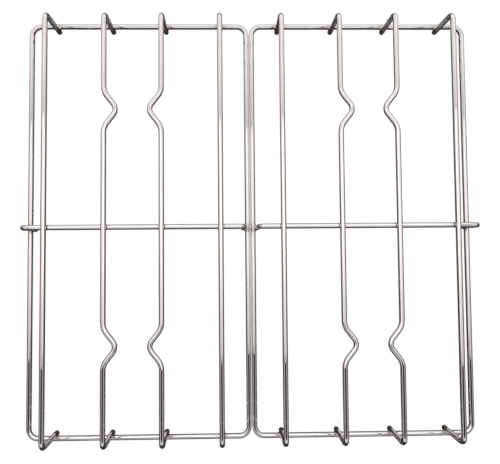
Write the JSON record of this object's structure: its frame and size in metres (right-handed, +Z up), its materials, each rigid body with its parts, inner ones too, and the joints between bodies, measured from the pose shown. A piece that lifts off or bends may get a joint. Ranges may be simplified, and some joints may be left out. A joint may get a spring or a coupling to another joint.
{
  "type": "gas hob pan support",
  "caption": "Pair of polished bent-wire pan supports for a gas hob: frame ring, raised bars that jog in over the burners, and a crossbar.",
  "frame": {"origin": "middle of the pair, on the plane that the feet stand on", "axes": "+X to the right across both grates, +Y to the back of the hob, +Z up"},
  "size_m": [0.4428, 0.4156, 0.042],
  "materials": {
    "ring_chrome": "bright polished round wire",
    "bar_chrome": "bright polished round wire",
    "crossbar_chrome": "bright polished round wire",
    "weld_flash": "dull resistance-weld flash"
  },
  "bodies": {
    "left_grate": {"left_frame_ring": "ring_chrome", "left_outer_bar_left": "bar_chrome", "left_outer_bar_right": "bar_chrome", "left_burner_bar_left": "bar_chrome", "left_burner_bar_right": "bar_chrome", "left_crossbar": "crossbar_chrome", "left_outer_bar_left_front_weld": "weld_flash", "left_outer_bar_left_back_weld": "weld_flash", "left_outer_bar_left_crossing_weld": "weld_flash", "left_outer_bar_right_front_weld": "weld_flash", "left_outer_bar_right_back_weld": "weld_flash", "left_outer_bar_right_crossing_weld": "weld_flash", "left_burner_bar_left_front_weld": "weld_flash", "left_burner_bar_left_back_weld": "weld_flash", "left_burner_bar_left_crossing_weld": "weld_flash", "left_burner_bar_right_front_weld": "weld_flash", "left_burner_bar_right_back_weld": "weld_flash", "left_burner_bar_right_crossing_weld": "weld_flash", "left_crossbar_left_weld": "weld_flash", "left_crossbar_right_weld": "weld_flash"},
    "right_grate": {"right_frame_ring": "ring_chrome", "right_outer_bar_left": "bar_chrome", "right_outer_bar_right": "bar_chrome", "right_burner_bar_left": "bar_chrome", "right_burner_bar_right": "bar_chrome", "right_crossbar": "crossbar_chrome", "right_outer_bar_left_front_weld": "weld_flash", "right_outer_bar_left_back_weld": "weld_flash", "right_outer_bar_left_crossing_weld": "weld_flash", "right_outer_bar_right_front_weld": "weld_flash", "right_outer_bar_right_back_weld": "weld_flash", "right_outer_bar_right_crossing_weld": "weld_flash", "right_burner_bar_left_front_weld": "weld_flash", "right_burner_bar_left_back_weld": "weld_flash", "right_burner_bar_left_crossing_weld": "weld_flash", "right_burner_bar_right_front_weld": "weld_flash", "right_burner_bar_right_back_weld": "weld_flash", "right_burner_bar_right_crossing_weld": "weld_flash", "right_crossbar_left_weld": "weld_flash", "right_crossbar_right_weld": "weld_flash"}
  },
  "joints": [
    {"name": "right_grate_lift", "type": "slide", "parent": "left_grate", "child": "right_grate", "axis": [0, 0, 1], "range_m": [0, 0.06]}
  ]
}
